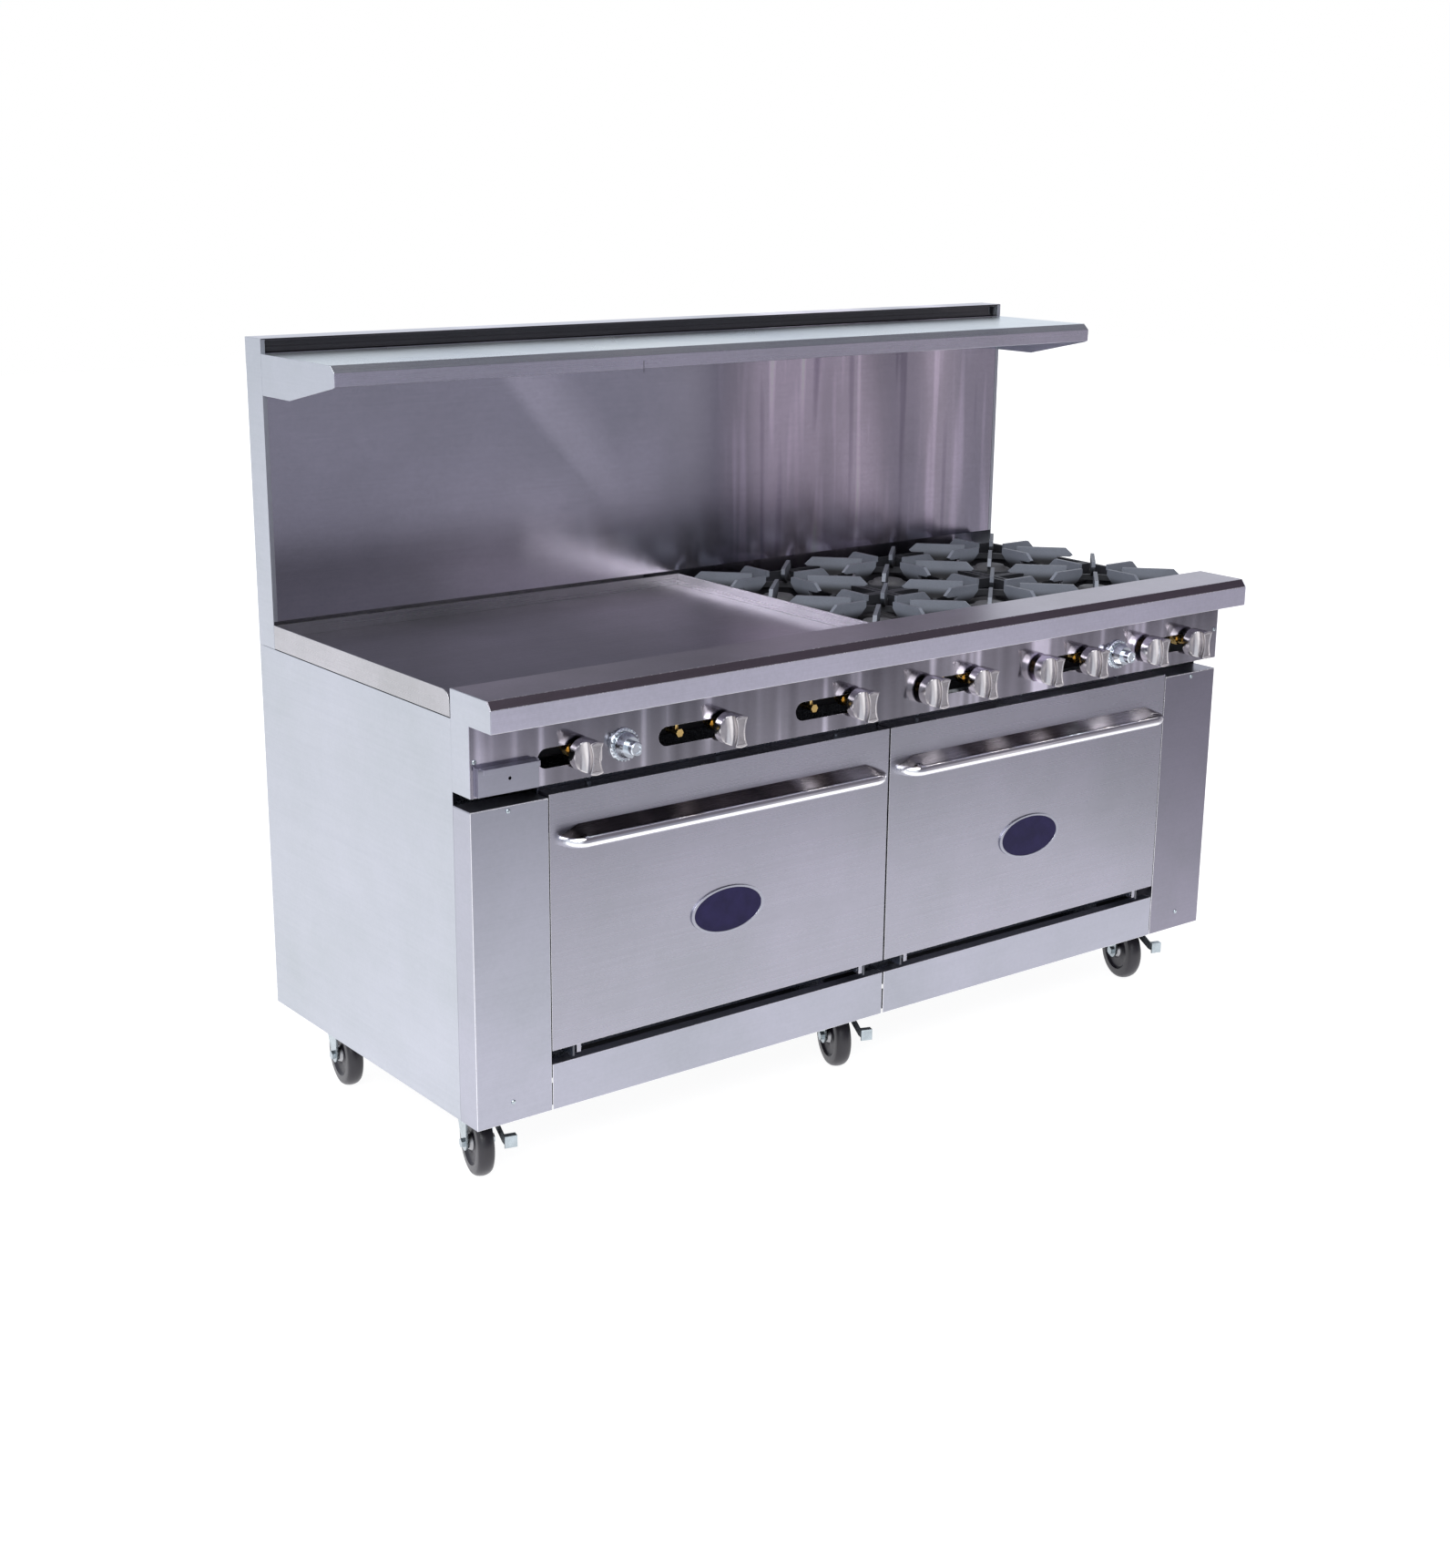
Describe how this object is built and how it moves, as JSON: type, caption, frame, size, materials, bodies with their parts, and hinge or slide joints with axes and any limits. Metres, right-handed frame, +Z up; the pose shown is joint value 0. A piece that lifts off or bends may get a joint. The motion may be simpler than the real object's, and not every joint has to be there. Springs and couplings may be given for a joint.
{
  "type": "commercial gas range",
  "caption": "Floor-standing restaurant gas range with griddle, open burners, cast grates, ovens with drop doors, belly rail, control knobs, grease drawer, back guard, high shelf and casters",
  "frame": {"origin": "on the floor, under the middle of the range's overall box", "axes": "+X to the right along the longest side, +Y to the back, +Z up; the oven doors face -Y"},
  "size_m": [1.829, 0.817, 1.429],
  "materials": {
    "brushed_steel": "brushed, satin",
    "guard_steel": "polished with fine grain",
    "griddle_steel": "ground, dark",
    "frame_steel": "matt, dark",
    "cast_iron": "matt enamel",
    "brass": "machined",
    "gas_pipe": "black pipe",
    "oven_enamel": "porcelain enamel",
    "chrome_wire": "plated wire",
    "chrome": "polished",
    "zinc": "zinc plated",
    "badge": "dark blue gloss field",
    "knob_metal": "satin cast",
    "wheel_rubber": "matt, worn tread",
    "screw_steel": "plated"
  },
  "bodies": {
    "range_body": {"base_frame": "frame_steel", "side_panels": "brushed_steel", "back_panel": "brushed_steel", "lower_front_panels": "brushed_steel", "manifold_panel": "brushed_steel", "belly_rail": "brushed_steel", "back_guard": "guard_steel", "high_shelf": "brushed_steel", "griddle_plate": "griddle_steel", "griddle_splash": "brushed_steel", "top_frame": "frame_steel", "open_burners": "cast_iron", "enclosed_burners": "cast_iron", "gas_manifold": "gas_pipe", "gas_valves": "brass", "oven_shells": "oven_enamel", "oven_racks": "chrome_wire", "thermostat_bezels": "zinc", "screws": "screw_steel"},
    "oven_door_left": {"door_skin_left": "brushed_steel", "door_liner_left": "brushed_steel", "door_handle_left": "chrome", "door_badge_left": "badge"},
    "oven_door_right": {"door_skin_right": "brushed_steel", "door_liner_right": "brushed_steel", "door_handle_right": "chrome", "door_badge_right": "badge"},
    "gas_knob_1": {"knob_1": "knob_metal"},
    "gas_knob_2": {"knob_2": "knob_metal"},
    "gas_knob_3": {"knob_3": "knob_metal"},
    "gas_knob_4": {"knob_4": "knob_metal"},
    "gas_knob_5": {"knob_5": "knob_metal"},
    "gas_knob_6": {"knob_6": "knob_metal"},
    "gas_knob_7": {"knob_7": "knob_metal"},
    "gas_knob_8": {"knob_8": "knob_metal"},
    "gas_knob_9": {"knob_9": "knob_metal"},
    "thermostat_left": {"thermostat_stem_left": "zinc"},
    "thermostat_right": {"thermostat_stem_right": "zinc"},
    "grease_drawer": {"grease_drawer": "brushed_steel"},
    "grate_1": {"grate_1": "cast_iron"},
    "grate_2": {"grate_2": "cast_iron"},
    "grate_3": {"grate_3": "cast_iron"},
    "grate_4": {"grate_4": "cast_iron"},
    "grate_5": {"grate_5": "cast_iron"},
    "grate_6": {"grate_6": "cast_iron"},
    "caster_fork_1": {"caster_fork_1": "zinc"},
    "caster_wheel_1": {"caster_wheel_1": "wheel_rubber"},
    "caster_fork_2": {"caster_fork_2": "zinc"},
    "caster_wheel_2": {"caster_wheel_2": "wheel_rubber"},
    "caster_fork_3": {"caster_fork_3": "zinc"},
    "caster_wheel_3": {"caster_wheel_3": "wheel_rubber"},
    "caster_fork_4": {"caster_fork_4": "zinc"},
    "caster_wheel_4": {"caster_wheel_4": "wheel_rubber"},
    "caster_fork_5": {"caster_fork_5": "zinc"},
    "caster_wheel_5": {"caster_wheel_5": "wheel_rubber"},
    "caster_fork_6": {"caster_fork_6": "zinc"},
    "caster_wheel_6": {"caster_wheel_6": "wheel_rubber"},
    "brake_pedal_1": {"brake_pedal_1": "zinc"},
    "brake_pedal_2": {"brake_pedal_2": "zinc"},
    "brake_pedal_3": {"brake_pedal_3": "zinc"}
  },
  "joints": [
    {"name": "oven_door_left_hinge", "type": "hinge", "parent": "range_body", "child": "oven_door_left", "pos_m": [-0.3815, -0.3325, 0.25], "axis": [1, 0, 0], "range_deg": [0, 88]},
    {"name": "oven_door_right_hinge", "type": "hinge", "parent": "range_body", "child": "oven_door_right", "pos_m": [0.3815, -0.3325, 0.25], "axis": [1, 0, 0], "range_deg": [0, 88]},
    {"name": "gas_knob_1_turn", "type": "hinge", "parent": "range_body", "child": "gas_knob_1", "pos_m": [-0.6985, -0.3605, 0.784], "axis": [0, -1, 0], "range_deg": [0, 90]},
    {"name": "gas_knob_2_turn", "type": "hinge", "parent": "range_body", "child": "gas_knob_2", "pos_m": [-0.3937, -0.3605, 0.784], "axis": [0, -1, 0], "range_deg": [0, 90]},
    {"name": "gas_knob_3_turn", "type": "hinge", "parent": "range_body", "child": "gas_knob_3", "pos_m": [-0.0889, -0.3605, 0.784], "axis": [0, -1, 0], "range_deg": [0, 90]},
    {"name": "gas_knob_4_turn", "type": "hinge", "parent": "range_body", "child": "gas_knob_4", "pos_m": [0.0889, -0.3605, 0.784], "axis": [0, -1, 0], "range_deg": [0, 90]},
    {"name": "gas_knob_5_turn", "type": "hinge", "parent": "range_body", "child": "gas_knob_5", "pos_m": [0.2159, -0.3605, 0.784], "axis": [0, -1, 0], "range_deg": [0, 90]},
    {"name": "gas_knob_6_turn", "type": "hinge", "parent": "range_body", "child": "gas_knob_6", "pos_m": [0.3937, -0.3605, 0.784], "axis": [0, -1, 0], "range_deg": [0, 90]},
    {"name": "gas_knob_7_turn", "type": "hinge", "parent": "range_body", "child": "gas_knob_7", "pos_m": [0.5207, -0.3605, 0.784], "axis": [0, -1, 0], "range_deg": [0, 90]},
    {"name": "gas_knob_8_turn", "type": "hinge", "parent": "range_body", "child": "gas_knob_8", "pos_m": [0.6985, -0.3605, 0.784], "axis": [0, -1, 0], "range_deg": [0, 90]},
    {"name": "gas_knob_9_turn", "type": "hinge", "parent": "range_body", "child": "gas_knob_9", "pos_m": [0.8255, -0.3605, 0.784], "axis": [0, -1, 0], "range_deg": [0, 90]},
    {"name": "thermostat_left_turn", "type": "hinge", "parent": "range_body", "child": "thermostat_left", "pos_m": [-0.6096, -0.3605, 0.784], "axis": [0, -1, 0], "range_deg": [-270, 0]},
    {"name": "thermostat_right_turn", "type": "hinge", "parent": "range_body", "child": "thermostat_right", "pos_m": [0.6096, -0.3605, 0.784], "axis": [0, -1, 0], "range_deg": [-270, 0]},
    {"name": "grease_drawer_slide", "type": "slide", "parent": "range_body", "child": "grease_drawer", "axis": [0, -1, 0], "range_m": [0, 0.3]},
    {"name": "grate_1_lift", "type": "slide", "parent": "range_body", "child": "grate_1", "axis": [0, 0, 1], "range_m": [0, 0.15]},
    {"name": "grate_2_lift", "type": "slide", "parent": "range_body", "child": "grate_2", "axis": [0, 0, 1], "range_m": [0, 0.15]},
    {"name": "grate_3_lift", "type": "slide", "parent": "range_body", "child": "grate_3", "axis": [0, 0, 1], "range_m": [0, 0.15]},
    {"name": "grate_4_lift", "type": "slide", "parent": "range_body", "child": "grate_4", "axis": [0, 0, 1], "range_m": [0, 0.15]},
    {"name": "grate_5_lift", "type": "slide", "parent": "range_body", "child": "grate_5", "axis": [0, 0, 1], "range_m": [0, 0.15]},
    {"name": "grate_6_lift", "type": "slide", "parent": "range_body", "child": "grate_6", "axis": [0, 0, 1], "range_m": [0, 0.15]},
    {"name": "caster_1_swivel", "type": "hinge", "parent": "range_body", "child": "caster_fork_1", "pos_m": [-0.832, -0.1825, 0.148], "axis": [0, 0, 1], "continuous": true},
    {"name": "caster_1_roll", "type": "hinge", "parent": "caster_fork_1", "child": "caster_wheel_1", "pos_m": [-0.83926, -0.21161, 0.0635], "axis": [0.9703, -0.2419, 0], "continuous": true},
    {"name": "caster_2_swivel", "type": "hinge", "parent": "range_body", "child": "caster_fork_2", "pos_m": [0, -0.1825, 0.148], "axis": [0, 0, 1], "continuous": true},
    {"name": "caster_2_roll", "type": "hinge", "parent": "caster_fork_2", "child": "caster_wheel_2", "pos_m": [-0.00977, -0.21087, 0.0635], "axis": [0.9455, -0.3256, 0], "continuous": true},
    {"name": "caster_3_swivel", "type": "hinge", "parent": "range_body", "child": "caster_fork_3", "pos_m": [0.832, -0.1825, 0.148], "axis": [0, 0, 1], "continuous": true},
    {"name": "caster_3_roll", "type": "hinge", "parent": "caster_fork_3", "child": "caster_wheel_3", "pos_m": [0.82373, -0.21134, 0.0635], "axis": [0.9613, -0.2756, 0], "continuous": true},
    {"name": "caster_4_swivel", "type": "hinge", "parent": "range_body", "child": "caster_fork_4", "pos_m": [-0.832, 0.3095, 0.148], "axis": [0, 0, 1], "continuous": true},
    {"name": "caster_4_roll", "type": "hinge", "parent": "caster_fork_4", "child": "caster_wheel_4", "pos_m": [-0.83669, 0.27987, 0.0635], "axis": [0.9877, -0.1564, 0], "continuous": true},
    {"name": "caster_5_swivel", "type": "hinge", "parent": "range_body", "child": "caster_fork_5", "pos_m": [0, 0.3095, 0.148], "axis": [0, 0, 1], "continuous": true},
    {"name": "caster_5_roll", "type": "hinge", "parent": "caster_fork_5", "child": "caster_wheel_5", "pos_m": [-0.00726, 0.28039, 0.0635], "axis": [0.9703, -0.2419, 0], "continuous": true},
    {"name": "caster_6_swivel", "type": "hinge", "parent": "range_body", "child": "caster_fork_6", "pos_m": [0.832, 0.3095, 0.148], "axis": [0, 0, 1], "continuous": true},
    {"name": "caster_6_roll", "type": "hinge", "parent": "caster_fork_6", "child": "caster_wheel_6", "pos_m": [0.82628, 0.28005, 0.0635], "axis": [0.9816, -0.1908, 0], "continuous": true},
    {"name": "brake_1_release", "type": "hinge", "parent": "caster_fork_1", "child": "brake_pedal_1", "pos_m": [-0.84022, -0.21549, 0.112], "axis": [-0.9703, 0.2419, 0], "range_deg": [0, 14]},
    {"name": "brake_2_release", "type": "hinge", "parent": "caster_fork_2", "child": "brake_pedal_2", "pos_m": [-0.01107, -0.21465, 0.112], "axis": [-0.9455, 0.3256, 0], "range_deg": [0, 14]},
    {"name": "brake_3_release", "type": "hinge", "parent": "caster_fork_3", "child": "brake_pedal_3", "pos_m": [0.82263, -0.21518, 0.112], "axis": [-0.9613, 0.2756, 0], "range_deg": [0, 14]}
  ]
}
